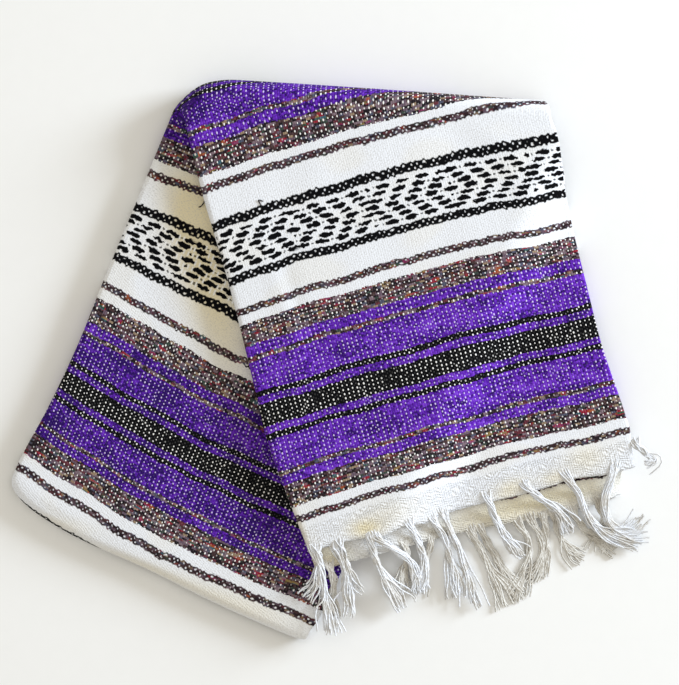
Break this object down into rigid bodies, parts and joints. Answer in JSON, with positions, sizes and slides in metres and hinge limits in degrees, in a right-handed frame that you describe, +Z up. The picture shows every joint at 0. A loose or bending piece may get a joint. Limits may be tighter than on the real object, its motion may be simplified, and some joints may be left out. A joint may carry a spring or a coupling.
{
  "type": "folded mexican serape blanket",
  "caption": "Striped falsa serape with knotted fringes, quartered, halved and doubled over on a skew fold, lying flat.",
  "frame": {"origin": "on the surface it lies on, under the middle of the folded blanket's bounding box, fringes included", "axes": "+Z up off the surface, +Y towards the turned-over fold, +X to the right with both legs pointing at -Y"},
  "size_m": [0.646, 0.5634, 0.0395],
  "materials": {
    "striped_weave": "matte slubby weft-faced weave in purple, black, brown mix and white stripes",
    "fringe_cotton": "matte undyed cotton warp ends, knotted in tassels"
  },
  "bodies": {
    "root": {"under_leg_face": "striped_weave", "under_leg_underside": "striped_weave", "end_fold": "striped_weave", "turn_over": "striped_weave", "upper_leg_face": "striped_weave", "upper_leg_underside": "striped_weave", "lower_end": "striped_weave", "folded_layers": "striped_weave", "upper_fringe": "fringe_cotton", "lower_fringe": "fringe_cotton"}
  },
  "joints": []
}
